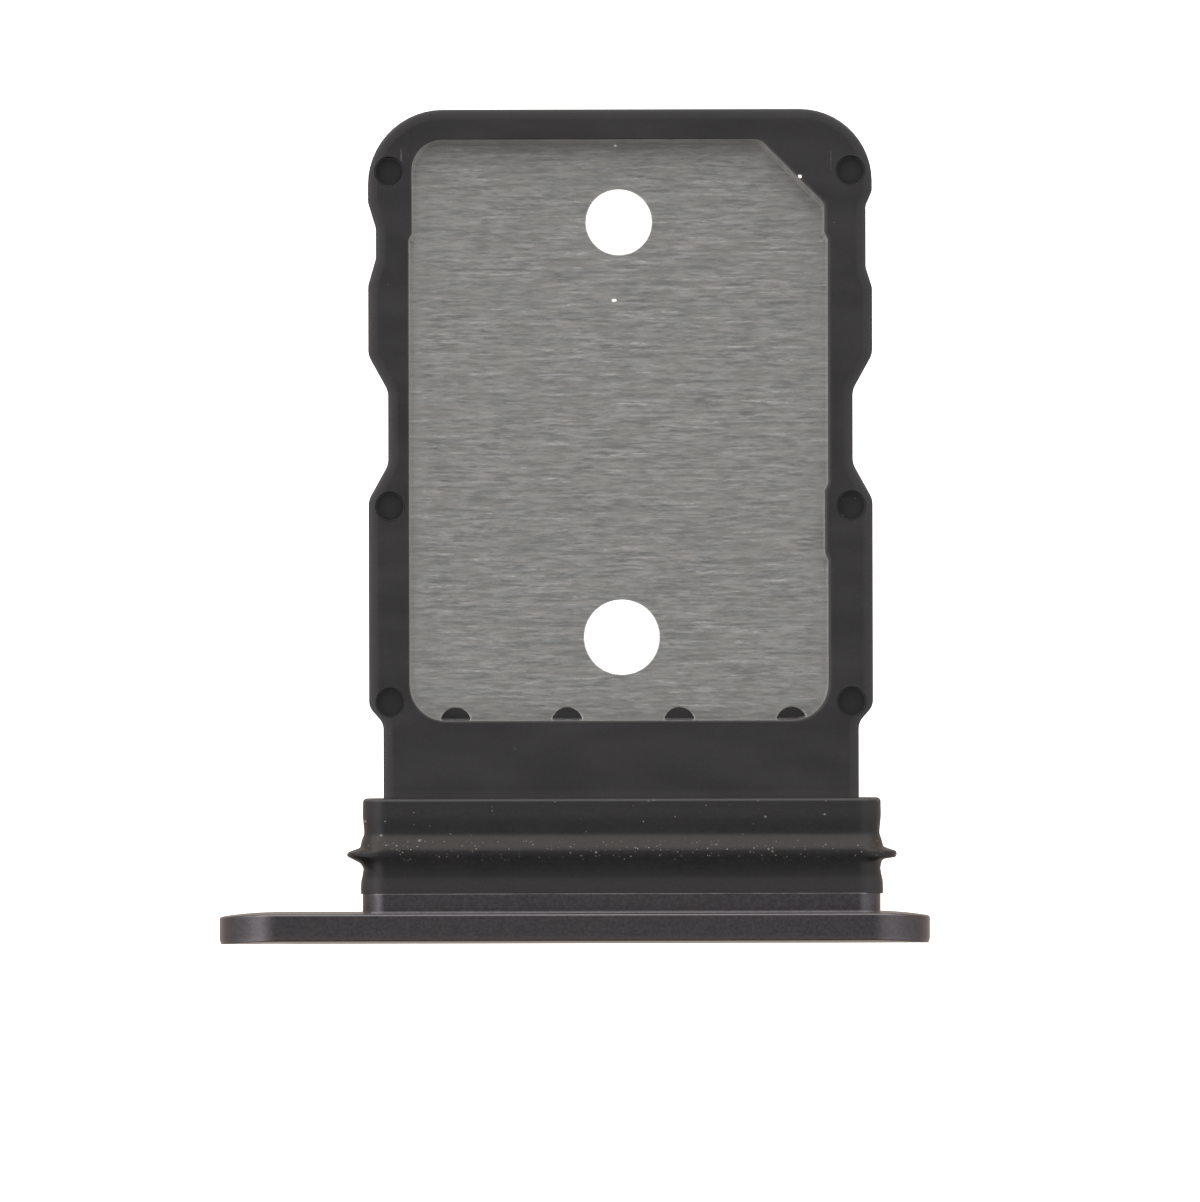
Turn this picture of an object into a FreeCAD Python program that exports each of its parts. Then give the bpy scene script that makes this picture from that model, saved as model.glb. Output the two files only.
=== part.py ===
"""Nano-SIM card tray, millimetres, +Z up.

The tray lies flat with the side that takes the card up.  X runs along the faceplate, Y runs from the
faceplate (low) to the end that enters the slot first (high).  The origin is at the centre of the
bounding box in X and Y, at the faceplate's lowest line in Z.  Four pieces: the machined head
(faceplate, stem, core and tongue), the gasket round its core, the moulded carrier frame and the
sheet-steel floor plate that the frame is moulded over.
"""
import FreeCAD, Part
import math
import os

# ---------------------------------------------------------------- driving dimensions, mm
TOTAL_LEN = 17.80          # faceplate front to the end of the frame
FACE_W = 15.18             # faceplate, end to end
FACE_H = 2.54              # faceplate height, full round ends
FACE_T = 0.59              # faceplate thickness
FACE_CURVE_R = 10.0        # both faces bow forward about a line along X
FACE_EDGE_R = 0.085        # broken edge round the rear face
FACE_FRONT_R = 0.06        # broken edge round the front face
EJECT_R = 0.55             # eject-pin hole
EJECT_FROM_END = 1.18      # its centre from the left end

TRAY_X = 1.0               # the tray's own centre line, right of the faceplate's centre
STEM_HW, STEM_HH, STEM_R = 5.525, 0.88, 0.50   # stem half width, half height, corner radius
STEM_END = 1.065           # stem's rear face, from the faceplate front
STEM_FILLET = 0.08         # stem to faceplate
CORE_HW, CORE_HH, CORE_R = 4.85, 0.43, 0.15    # core inside the gasket
TONGUE_HW, TONGUE_HH = 4.30, 0.21              # tongue inside the moulded neck
TONGUE_END = 4.08
TONGUE_HOLE_R, TONGUE_HOLE_V = 0.36, 3.55      # plastic flows through these
TONGUE_HOLES = (-2.7, 0.0, 2.7)

SEAL_HW, SEAL_HH, SEAL_R = 5.515, 0.87, 0.50   # gasket body, before its lip and swellings
SEAL_END = 3.055           # gasket's rear face and the neck's front face

FRAME_T = 1.05             # carrier frame thickness
PLATE_LOW = 0.15           # floor plate's underside above the frame's underside
PLATE_T = 0.18             # floor plate thickness, so the pocket is 0.72 deep
FRAME_EDGE_R = 0.12        # rounded outer edges
BULGE = 5.376              # half widths of the frame, along its length
NECK = 5.070
WAIST = 4.955
NOTCH_LEFT, NOTCH_RIGHT = 5.208, 5.240
END_R_LEFT, END_R_RIGHT = 1.60, 1.54

POCKET_HW = 4.485          # card pocket half width
POCKET_LOW, POCKET_HIGH = 4.73, 17.162         # its ends, from the faceplate front
POCKET_R_LOW, POCKET_R_HIGH = 0.78, 0.65
KEY_LEG = 1.47             # the keyed corner's bevel
RIB = 0.07                 # friction ribs stand this far into the pocket
POCKET_BREAK = 0.05        # bevel round the pocket's mouth
WINDOW_HW = 4.30           # opening under the floor plate
WINDOW_LOW, WINDOW_HIGH, WINDOW_R = 5.16, 16.95, 0.80

PLATE_HW = 4.70            # floor plate, its edges inside the frame
PLATE_END_LOW, PLATE_END_HIGH, PLATE_R = 4.22, 17.40, 0.90
PUSH_FAR_R, PUSH_FAR_V = 0.70, 15.41           # push-out holes
PUSH_NEAR_R, PUSH_NEAR_V = 0.80, 6.54
ANCHOR_R, ANCHOR_V = 0.33, 4.73                # holes half under the neck, filled by the frame
ANCHORS = (-3.59, -1.20, 1.20, 3.59)

PIT_R, PIT_DEPTH, PIT_U = 0.32, 0.45, 4.92     # round blind pits in the rails
PITS = (16.48, 9.335, 5.155)

# ---------------------------------------------------------------- frame of reference
FRONT = -TOTAL_LEN / 2.0
MID_Z = FACE_H / 2.0
FRAME_Z = MID_Z - FRAME_T / 2.0
TOP_Z = FRAME_Z + FRAME_T
PLATE_Z = FRAME_Z + PLATE_LOW


def V(x, y, z=0.0):
    return FreeCAD.Vector(x, y, z)


def tray(u, v, z=0.0):
    """A point u right of the tray's centre line and v behind the faceplate's front."""
    return V(TRAY_X + u, FRONT + v, z)


def rounded(points, z):
    """Closed wire through (u, v, radius) corners, each rounded by a tangent arc."""
    n = len(points)
    pts = [tray(p[0], p[1], z) for p in points]
    ends = []
    for i in range(n):
        a, b, c = pts[i - 1], pts[i], pts[(i + 1) % n]
        r = points[i][2]
        if r <= 0:
            ends.append((b, None, b))
            continue
        p, q = (a - b).normalize(), (c - b).normalize()
        half = p.getAngle(q) / 2.0
        back = r / math.tan(half)
        mid = (p + q).normalize()
        centre = b + mid * (r / math.sin(half))
        ends.append((b + p * back, centre - mid * r, b + q * back))
    edges = []
    for i in range(n):
        start, through, stop = ends[i]
        if through is not None:
            edges.append(Part.Arc(start, through, stop).toShape())
        nxt = ends[(i + 1) % n][0]
        if (nxt - stop).Length > 1e-6:
            edges.append(Part.LineSegment(stop, nxt).toShape())
    return Part.Wire(edges)


def prism(points, z0, z1):
    return Part.Face(rounded(points, z0)).extrude(V(0, 0, z1 - z0))


def disc(u, v, r, z0, z1):
    return Part.makeCylinder(r, z1 - z0, tray(u, v, z0), V(0, 0, 1))


def samples(edge, n=9):
    """Points along an edge; the ends only, where the edge has shrunk to a point."""
    a, b = edge.ParameterRange
    if edge.Length < 1e-6:
        return [v.Point for v in edge.Vertexes]
    return [edge.valueAt(a + (b - a) * i / (n - 1.0)) for i in range(n)]


def bar(hw, hh, r, v0, v1):
    """A rounded-rectangle bar along Y, round the tray's centre line at mid height."""
    box = Part.makeBox(2 * hw, v1 - v0, 2 * hh, tray(-hw, v0, MID_Z - hh))
    along = [e for e in box.Edges
             if abs(abs(e.tangentAt(e.FirstParameter).y) - 1) < 1e-6]
    return box.makeFillet(r, along)


# ---------------------------------------------------------------- head
def faceplate():
    half = FACE_W / 2.0 - MID_Z
    a, b = V(-half, FRONT - 1, 0), V(half, FRONT - 1, 0)
    c, d = V(half, FRONT - 1, FACE_H), V(-half, FRONT - 1, FACE_H)
    outline = Part.Wire([
        Part.LineSegment(a, b).toShape(),
        Part.Arc(b, V(half + MID_Z, FRONT - 1, MID_Z), c).toShape(),
        Part.LineSegment(c, d).toShape(),
        Part.Arc(d, V(-half - MID_Z, FRONT - 1, MID_Z), a).toShape()])
    slug = Part.Face(outline).extrude(V(0, 3, 0))

    def bow(y, z_off):
        return y + FACE_CURVE_R - math.sqrt(FACE_CURVE_R ** 2 - z_off ** 2)
    reach = MID_Z + 0.5
    x0 = -FACE_W
    f0 = V(x0, bow(FRONT, reach), MID_Z - reach)
    f1 = V(x0, FRONT, MID_Z)
    f2 = V(x0, bow(FRONT, reach), MID_Z + reach)
    step = V(0, FACE_T, 0)
    section = Part.Wire([
        Part.Arc(f0, f1, f2).toShape(),
        Part.LineSegment(f2, f2 + step).toShape(),
        Part.Arc(f2 + step, f1 + step, f0 + step).toShape(),
        Part.LineSegment(f0 + step, f0).toShape()])
    slab = Part.Face(section).extrude(V(2 * FACE_W, 0, 0))
    plate = slug.common(slab)
    plate = plate.Solids[0]
    rear, front = [], []
    for e in plate.Edges:
        ys = [p.y for p in samples(e)]
        zs = [p.z for p in samples(e)]
        if all(y > bow(FRONT, abs(z - MID_Z)) + FACE_T - 1e-3 for y, z in zip(ys, zs)):
            rear.append(e)
        if all(y < bow(FRONT, abs(z - MID_Z)) + 1e-3 for y, z in zip(ys, zs)):
            front.append(e)
    plate = plate.makeFillet(FACE_EDGE_R, rear)
    front = []
    for e in plate.Edges:
        ys = [p.y for p in samples(e)]
        zs = [p.z for p in samples(e)]
        if all(y < bow(FRONT, abs(z - MID_Z)) + 1e-3 for y, z in zip(ys, zs)):
            front.append(e)
    return plate.makeFillet(FACE_FRONT_R, front)


def make_head():
    plate = faceplate()
    stem = bar(STEM_HW, STEM_HH, STEM_R, 0.30, STEM_END)
    head = plate.fuse(stem)
    corner = []
    for e in head.Edges:
        on = True
        for p in samples(e):
            zz = abs(p.z - MID_Z)
            y = FRONT + FACE_T + FACE_CURVE_R - math.sqrt(FACE_CURVE_R ** 2 - zz ** 2)
            if abs(p.y - y) > 2e-3 or abs(p.x - TRAY_X) > STEM_HW + 1e-3 or zz > STEM_HH + 1e-3:
                on = False
                break
        if on:
            corner.append(e)
    head = head.makeFillet(STEM_FILLET, corner)
    head = head.fuse(bar(CORE_HW, CORE_HH, CORE_R, 0.50, SEAL_END))
    tongue = Part.makeBox(2 * TONGUE_HW, TONGUE_END - 2.5, 2 * TONGUE_HH,
                          tray(-TONGUE_HW, 2.5, MID_Z - TONGUE_HH))
    for u in TONGUE_HOLES:
        tongue = tongue.cut(disc(u, TONGUE_HOLE_V, TONGUE_HOLE_R, MID_Z - 1, MID_Z + 1))
    head = head.fuse(tongue)
    hole = Part.makeCylinder(EJECT_R, 3.0, V(-FACE_W / 2.0 + EJECT_FROM_END, FRONT - 1, MID_Z),
                             V(0, 1, 0))
    return head.cut(hole).removeSplitter()


# ---------------------------------------------------------------- gasket
def seal_section(place, depth):
    """The gasket's section as a face.  place(offset, v) gives a point offset outside the body."""
    p = place

    def line(a, b):
        return Part.LineSegment(p(*a), p(*b)).toShape()

    def arc(a, m, b):
        return Part.Arc(p(*a), p(*m), p(*b)).toShape()
    return Part.Face(Part.Wire([
        line((-depth, STEM_END), (0.050, STEM_END)),
        line((0.050, STEM_END), (0.045, 1.22)),
        line((0.045, 1.22), (0.012, 1.62)),
        arc((0.012, 1.62), (0.055, 1.715), (0.155, 1.785)),
        line((0.155, 1.785), (0.300, 1.865)),
        arc((0.300, 1.865), (0.344, 1.917), (0.306, 1.960)),
        line((0.306, 1.960), (0.120, 2.010)),
        arc((0.120, 2.010), (-0.005, 2.060), (-0.045, 2.145)),
        arc((-0.045, 2.145), (-0.020, 2.215), (0.022, 2.270)),
        line((0.022, 2.270), (0.0, 2.72)),
        line((0.0, 2.72), (0.0, 2.97)),
        arc((0.0, 2.97), (-0.025, 3.030), (-0.085, SEAL_END)),
        line((-0.085, SEAL_END), (-depth, SEAL_END)),
        line((-depth, SEAL_END), (-depth, STEM_END))]))


def make_seal():
    cu, cz = SEAL_HW - SEAL_R, SEAL_HH - SEAL_R
    ring = Part.makeBox(2 * cu, SEAL_END - STEM_END, 2 * cz, tray(-cu, STEM_END, MID_Z - cz))
    for side in (1, -1):
        flat = seal_section(lambda d, v: tray(-cu, v, MID_Z + side * (SEAL_HH + d)), SEAL_R)
        ring = ring.fuse(flat.extrude(V(2 * cu, 0, 0)))
        end = seal_section(lambda d, v: tray(side * (SEAL_HW + d), v, MID_Z - cz), SEAL_R)
        ring = ring.fuse(end.extrude(V(0, 0, 2 * cz)))
    for su in (1, -1):
        for sz in (1, -1):
            face = seal_section(lambda d, v: tray(su * cu, v, MID_Z + sz * (SEAL_HH + d)), SEAL_R)
            turn = 90 if su * sz > 0 else -90
            ring = ring.fuse(face.revolve(tray(su * cu, 0, MID_Z + sz * cz), V(0, 1, 0), turn))
    ring = ring.removeSplitter()
    return ring.cut(bar(CORE_HW, CORE_HH, CORE_R, 0.50, SEAL_END + 1)).removeSplitter()


# ---------------------------------------------------------------- floor plate
PLATE_OUTLINE = [(-PLATE_HW, PLATE_END_LOW, 0.20), (PLATE_HW, PLATE_END_LOW, 0.20),
                 (PLATE_HW, PLATE_END_HIGH, PLATE_R), (-PLATE_HW, PLATE_END_HIGH, PLATE_R)]


def make_plate():
    z0, z1 = PLATE_Z, PLATE_Z + PLATE_T
    plate = prism(PLATE_OUTLINE, z0, z1)
    plate = plate.cut(disc(0, PUSH_FAR_V, PUSH_FAR_R, z0 - 1, z1 + 1))
    plate = plate.cut(disc(0, PUSH_NEAR_V, PUSH_NEAR_R, z0 - 1, z1 + 1))
    for u in ANCHORS:
        plate = plate.cut(disc(u, ANCHOR_V, ANCHOR_R, z0 - 1, z1 + 1))
    # the pocket's floor is a face of its own, bounded by the pocket's outline
    inner = plate.common(prism(POCKET_OUTLINE, z0 - 1, z1 + 1))
    rim = plate.cut(prism(POCKET_OUTLINE, z0 - 1, z1 + 1))
    return inner.fuse(rim)


# ---------------------------------------------------------------- carrier frame
FRAME_OUTLINE = [
    (NECK, SEAL_END, 0), (NECK, 4.71, 0.35), (BULGE, 5.06, 0.35),
    (BULGE, 9.475, 0.45), (WAIST, 10.235, 0.45), (WAIST, 11.80, 0.45), (BULGE, 12.56, 0.45),
    (BULGE, 13.99, 0.30), (NOTCH_RIGHT, 14.42, 0.30), (NOTCH_RIGHT, 15.73, 0.25), (BULGE, 16.04, 0.25),
    (BULGE, TOTAL_LEN, END_R_RIGHT), (-BULGE, TOTAL_LEN, END_R_LEFT),
    (-BULGE, 15.82, 0.40), (-NOTCH_LEFT, 15.27, 0.40), (-NOTCH_LEFT, 14.63, 0.40), (-BULGE, 14.05, 0.40),
    (-BULGE, 12.56, 0.45), (-WAIST, 11.80, 0.45), (-WAIST, 10.235, 0.45), (-BULGE, 9.475, 0.45),
    (-BULGE, 5.06, 0.35), (-NECK, 4.71, 0.35), (-NECK, SEAL_END, 0)]

POCKET_OUTLINE = [
    (-POCKET_HW, POCKET_LOW, POCKET_R_LOW), (POCKET_HW, POCKET_LOW, POCKET_R_LOW),
    (POCKET_HW, 8.19, 0.10), (POCKET_HW - RIB, 8.33, 0.10),
    (POCKET_HW - RIB, 9.67, 0.10), (POCKET_HW, 9.81, 0.10),
    (POCKET_HW, 15.02, 0.10), (POCKET_HW - RIB, 15.16, 0.10),
    (POCKET_HW - RIB, POCKET_HIGH - KEY_LEG + RIB, 0.25), (POCKET_HW - KEY_LEG, POCKET_HIGH, 0.25),
    (-POCKET_HW + RIB, POCKET_HIGH, POCKET_R_HIGH),
    (-POCKET_HW + RIB, 15.16, 0.10), (-POCKET_HW, 15.02, 0.10)]

WINDOW_OUTLINE = [(-WINDOW_HW, WINDOW_LOW, WINDOW_R), (WINDOW_HW, WINDOW_LOW, WINDOW_R),
                  (WINDOW_HW, WINDOW_HIGH, WINDOW_R), (-WINDOW_HW, WINDOW_HIGH, WINDOW_R)]


def make_frame(head, plate):
    body = prism(FRAME_OUTLINE, FRAME_Z, TOP_Z)
    rim = []
    for e in body.Edges:
        pts = samples(e, 5)
        flat_top = all(abs(p.z - TOP_Z) < 1e-6 for p in pts)
        flat_low = all(abs(p.z - FRAME_Z) < 1e-6 for p in pts)
        at_neck = all(p.y < FRONT + SEAL_END + 0.01 for p in pts)
        if (flat_top or flat_low) and not at_neck:
            rim.append(e)
    body = body.makeFillet(FRAME_EDGE_R, rim)
    pocket = prism(POCKET_OUTLINE, PLATE_Z + PLATE_T, TOP_Z + 1)
    body = body.cut(pocket)
    mouth = []
    for e in body.Edges:
        pts = samples(e, 5)
        if all(abs(p.z - TOP_Z) < 1e-6 for p in pts) and all(
                abs(p.x - TRAY_X) < POCKET_HW + 0.02 and FRONT + POCKET_LOW - 0.02 < p.y
                < FRONT + POCKET_HIGH + 0.02 for p in pts):
            mouth.append(e)
    body = body.makeChamfer(POCKET_BREAK, mouth)
    body = body.cut(prism(WINDOW_OUTLINE, FRAME_Z - 1, PLATE_Z + PLATE_T))
    for v in PITS:
        for side in (-1, 1):
            body = body.cut(disc(side * PIT_U, v, PIT_R, TOP_Z - PIT_DEPTH, TOP_Z + 1))
    return body.cut(plate).cut(head)


# ---------------------------------------------------------------- build
head = make_head()
seal = make_seal()
plate = make_plate()
frame = make_frame(head, plate)

os.makedirs("parts", exist_ok=True)
for name, shape in (("head", head), ("seal", seal), ("carrier_frame", frame),
                    ("floor_plate", plate)):
    solids = shape.Solids
    box = shape.BoundBox
    print(name, "solids", len(solids), "valid", shape.isValid(), "volume %.3f" % shape.Volume,
          "box %.3f %.3f %.3f to %.3f %.3f %.3f" % (box.XMin, box.YMin, box.ZMin,
                                                    box.XMax, box.YMax, box.ZMax))
    solids[0].exportStep("parts/" + name + ".step") if len(solids) == 1 else \
        shape.exportStep("parts/" + name + ".step")
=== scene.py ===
import math

import bpy
import bmesh
import numpy as np
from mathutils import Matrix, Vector, noise
from mathutils.geometry import delaunay_2d_cdt


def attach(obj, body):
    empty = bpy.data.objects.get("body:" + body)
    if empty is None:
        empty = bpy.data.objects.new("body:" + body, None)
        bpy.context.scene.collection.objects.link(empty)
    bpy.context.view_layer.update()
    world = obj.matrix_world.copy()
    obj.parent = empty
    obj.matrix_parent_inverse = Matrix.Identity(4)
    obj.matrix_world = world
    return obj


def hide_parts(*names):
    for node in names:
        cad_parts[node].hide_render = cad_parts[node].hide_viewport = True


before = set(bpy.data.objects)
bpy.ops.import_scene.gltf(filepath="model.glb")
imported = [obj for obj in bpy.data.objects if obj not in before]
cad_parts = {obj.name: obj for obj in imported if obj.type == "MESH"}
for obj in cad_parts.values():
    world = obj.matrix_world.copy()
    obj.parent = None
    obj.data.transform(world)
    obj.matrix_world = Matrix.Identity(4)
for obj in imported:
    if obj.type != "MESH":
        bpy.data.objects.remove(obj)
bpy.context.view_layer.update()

MM = 0.001

# ------------------------------------------------------------------ sizes, as in the model, mm
TOTAL_LEN, FACE_W, FACE_H, FACE_T, BOW_R = 17.80, 15.18, 2.54, 0.59, 10.0
FACE_EDGE_R, FACE_FRONT_R = 0.06, 0.05
FACE_FRONT_SOFT = 0.16
EJECT_R, EJECT_X = 0.55, -15.18 / 2 + 1.18
TRAY_X, FRONT, MID = 1.0, -8.90, 1.27
STEM_HW, STEM_HH, STEM_R, STEM_END, STEM_FILLET = 5.525, 0.88, 0.50, 1.09, 0.10
CORE_HW, CORE_HH, CORE_R = 4.85, 0.43, 0.15
TONGUE_HW, TONGUE_HH, TONGUE_END = 4.30, 0.21, 4.08
TONGUE_HOLES, TONGUE_HOLE_V, TONGUE_HOLE_R = (-2.7, 0.0, 2.7), 3.55, 0.36
SEAL_HW, SEAL_HH, SEAL_R, SEAL_END = 5.515, 0.87, 0.50, 3.055
FRAME_T, PLATE_LOW, PLATE_T, FRAME_EDGE_R = 1.05, 0.15, 0.18, 0.12
FRAME_Z = MID - FRAME_T / 2
TOP_Z = FRAME_Z + FRAME_T
PLATE_Z = FRAME_Z + PLATE_LOW
PLATE_TOP = PLATE_Z + PLATE_T
BULGE, NECK, WAIST, NOTCH_LEFT, NOTCH_RIGHT = 5.376, 5.070, 4.955, 5.208, 5.240
POCKET_LOW, POCKET_HIGH, KEY_LEG, RIB = 4.765, 17.15, 1.44, 0.07
POCKET_BREAK = 0.03
POCKET_DRAFT = 0.04
SOFT_EDGE = ((0.235, 0.0), (0.19, 0.0045), (0.14, 0.0115), (0.095, 0.0190), (0.060, 0.0265), (0.035, 0.0335), (0.020, 0.0415),
             (0.010, 0.051), (0.003, 0.065), (0.0, 0.082))
WINDOW = [(-4.30, 5.16, 0.80), (4.30, 5.16, 0.80), (4.30, 16.95, 0.80), (-4.30, 16.95, 0.80)]
PLATE = [(-4.70, 4.22, 0.20), (4.70, 4.22, 0.20), (4.70, 17.40, 0.90), (-4.70, 17.40, 0.90)]
PUSH = ((-0.025, 15.41, 0.70), (0.020, 6.54, 0.80))
ANCHOR_R, ANCHOR_V, ANCHORS = 0.33, 4.705, (-3.535, -1.15, 1.245, 3.645)
PIT_R, PIT_SEEN, PIT_U, PITS = 0.315, 0.27, 4.92, (16.48, 9.335, 5.155)
OUTLINE = [
    (NECK, SEAL_END, 0), (NECK, 4.71, 0.35), (BULGE, 5.06, 0.35),
    (BULGE, 9.475, 0.45), (WAIST, 10.235, 0.45), (WAIST, 11.80, 0.45), (BULGE, 12.56, 0.45),
    (BULGE, 13.99, 0.30), (NOTCH_RIGHT, 14.42, 0.30), (NOTCH_RIGHT, 15.73, 0.25), (BULGE, 16.04, 0.25),
    (BULGE, TOTAL_LEN, 1.54), (-BULGE, TOTAL_LEN, 1.60),
    (-BULGE, 15.82, 0.40), (-NOTCH_LEFT, 15.27, 0.40), (-NOTCH_LEFT, 14.63, 0.40), (-BULGE, 14.05, 0.40),
    (-BULGE, 12.56, 0.45), (-WAIST, 11.80, 0.45), (-WAIST, 10.235, 0.45), (-BULGE, 9.475, 0.45),
    (-BULGE, 5.06, 0.35), (-NECK, 4.71, 0.35), (-NECK, SEAL_END, 0)]
LEFT_WALL, RIGHT_WALL = 4.505, 4.425
POCKET = [
    (-LEFT_WALL, POCKET_LOW, 0.78), (RIGHT_WALL, POCKET_LOW, 0.78),
    (RIGHT_WALL, 8.19, 0.10), (RIGHT_WALL - RIB, 8.33, 0.10),
    (RIGHT_WALL - RIB, 9.67, 0.10), (RIGHT_WALL, 9.81, 0.10),
    (RIGHT_WALL, 15.02, 0.10), (RIGHT_WALL - RIB, 15.16, 0.10),
    (RIGHT_WALL - RIB, POCKET_HIGH - KEY_LEG + RIB, 0.25), (RIGHT_WALL - KEY_LEG, POCKET_HIGH, 0.25),
    (-LEFT_WALL + RIB, POCKET_HIGH, 0.65),
    (-LEFT_WALL + RIB, 15.16, 0.10), (-LEFT_WALL, 15.02, 0.10)]


# ------------------------------------------------------------------ outlines
def rounded(points, step=0.30, turn=6.0):
    """Points along a closed outline with tangent arcs, and the outward normal at each.
    Input runs counter-clockwise."""
    n = len(points)
    P = [np.array(p[:2], float) for p in points]
    ends = []
    for i in range(n):
        a, b, c = P[i - 1], P[i], P[(i + 1) % n]
        p, q = (a - b) / np.linalg.norm(a - b), (c - b) / np.linalg.norm(c - b)
        r = points[i][2]
        half = math.acos(max(-1.0, min(1.0, float(p @ q)))) / 2
        if r <= 0:
            ends.append((b, b, None, 0.0, 0.0))
            continue
        back = r / math.tan(half)
        mid = (p + q) / np.linalg.norm(p + q)
        ends.append((b + p * back, b + q * back, b + mid * (r / math.sin(half)), r, math.pi - 2 * half))
    pts, nrm = [], []
    for i in range(n):
        s, e, cen, r, ang = ends[i]
        if cen is None:
            pts.append(s)
            d = P[i] - P[i - 1]
            nrm.append(np.array([d[1], -d[0]]) / np.linalg.norm(d))
        else:
            k = max(1, math.ceil(math.degrees(ang) / turn))
            a0 = math.atan2(*(s - cen)[::-1])
            a1 = math.atan2(*(e - cen)[::-1])
            while a1 - a0 > math.pi:
                a1 -= 2 * math.pi
            while a1 - a0 < -math.pi:
                a1 += 2 * math.pi
            sign = 1.0 if a1 > a0 else -1.0
            for j in range(k + 1):
                a = a0 + (a1 - a0) * j / k
                u = np.array([math.cos(a), math.sin(a)])
                pts.append(cen + u * r)
                nrm.append(u * sign)
        nxt = ends[(i + 1) % n][0]
        d = nxt - e
        L = np.linalg.norm(d)
        if L > 1e-6:
            t = d / L
            nn = np.array([t[1], -t[0]])
            at = set(L * j / max(1, math.ceil(L / step)) for j in range(1, max(1, math.ceil(L / step))))
            for x in sorted(at):
                pts.append(e + t * x)
                nrm.append(nn)
    out_p, out_n = [], []
    for p, q in zip(pts, nrm):
        if out_p and np.linalg.norm(p - out_p[-1]) < 1e-7:
            continue
        out_p.append(p)
        out_n.append(q)
    if np.linalg.norm(out_p[0] - out_p[-1]) < 1e-7:
        out_p.pop()
        out_n.pop()
    return np.array(out_p), np.array(out_n)


def circle(cx, cy, r, n=48):
    a = np.arange(n) * 2 * math.pi / n
    u = np.stack([np.cos(a), np.sin(a)], 1)
    return np.array([cx, cy]) + u * r, u


def inside(poly, q):
    """Which of the points q lie inside the closed polygon."""
    x, y = q[:, 0], q[:, 1]
    hit = np.zeros(len(q), bool)
    for i in range(len(poly)):
        x0, y0 = poly[i - 1]
        x1, y1 = poly[i]
        c = (y0 > y) != (y1 > y)
        if y1 != y0:
            hit ^= c & (x < (x1 - x0) * (y - y0) / (y1 - y0) + x0)
    return hit


def crossings(p, n, centre, r):
    """Adds to a dense outline the points where a circle crosses it (first two columns)."""
    out_p, out_n, hits = [], [], []
    c = np.array(centre, float)
    for i in range(len(p)):
        a, b = p[i], p[(i + 1) % len(p)]
        out_p.append(a)
        out_n.append(n[i])
        if (np.linalg.norm(a[:2] - c) < r) != (np.linalg.norm(b[:2] - c) < r):
            d, w = b[:2] - a[:2], a[:2] - c
            A, B, C = d @ d, 2 * (w @ d), w @ w - r * r
            q = math.sqrt(B * B - 4 * A * C)
            for t in ((-B - q) / (2 * A), (-B + q) / (2 * A)):
                if 1e-6 < t < 1 - 1e-6:
                    hits.append(a + (b - a) * t)
                    out_p.append(a + (b - a) * t)
                    m = n[i] + n[(i + 1) % len(p)]
                    out_n.append(m / np.linalg.norm(m))
    return np.array(out_p), np.array(out_n), hits


class Build:
    """Collects points (mm) and faces of one mesh."""

    def __init__(self):
        self.v, self.f = [], []

    def loop(self, pts):
        i = len(self.v)
        self.v += [tuple(map(float, p)) for p in pts]
        return list(range(i, i + len(pts)))

    def bridge(self, a, b):
        n = len(a)
        for i in range(n):
            j = (i + 1) % n
            q = [a[i], a[j], b[j], b[i]]
            q = [x for k, x in enumerate(q) if x != q[k - 1]]
            if len(q) > 2:
                self.f.append(q)

    def rings(self, loops):
        for a, b in zip(loops, loops[1:]):
            self.bridge(a, b)

    def fill(self, loops, keep, extra=(), lift=None, axes=(0, 1)):
        """Triangulates the plane arrangement of index loops; keep(centroids) picks the triangles.
        extra are more plane points, lift(p) gives their full position."""
        idx, seen = [], {}
        edges = []
        for lp in loops:
            for i in lp:
                if i not in seen:
                    seen[i] = len(idx)
                    idx.append(i)
            edges += [(seen[lp[k]], seen[lp[(k + 1) % len(lp)]]) for k in range(len(lp))]
        for p in extra:
            i = len(self.v)
            self.v.append(tuple(map(float, lift(p))))
            idx.append(i)
        plane = [Vector((self.v[i][axes[0]], self.v[i][axes[1]])) for i in idx]
        vs, _, fs, ov, _, _ = delaunay_2d_cdt(plane, edges, [], 0, 1e-6)
        back = [idx[o[0]] if o else None for o in ov]
        fs = [f for f in fs if all(back[i] is not None for i in f)]
        cen = np.array([[sum(vs[i][0] for i in f) / 3, sum(vs[i][1] for i in f) / 3] for f in fs])
        ok = keep(cen)
        for f, k in zip(fs, ok):
            if k:
                self.f.append([back[i] for i in f])

    def object(self, name):
        me = bpy.data.meshes.new(name)
        me.from_pydata([(x * MM, y * MM, z * MM) for x, y, z in self.v], [], self.f)
        bm = bmesh.new()
        bm.from_mesh(me)
        loose = [v for v in bm.verts if not v.link_faces]
        bmesh.ops.delete(bm, geom=loose, context="VERTS")
        bmesh.ops.recalc_face_normals(bm, faces=bm.faces)
        bad = sum(1 for e in bm.edges if len(e.link_faces) != 2)
        if bad:
            print("OPEN EDGES", name, bad)
        bm.to_mesh(me)
        bm.free()
        me.polygons.foreach_set("use_smooth", [True] * len(me.polygons))
        me.validate()
        ob = bpy.data.objects.new(name, me)
        bpy.context.scene.collection.objects.link(ob)
        return ob


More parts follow.
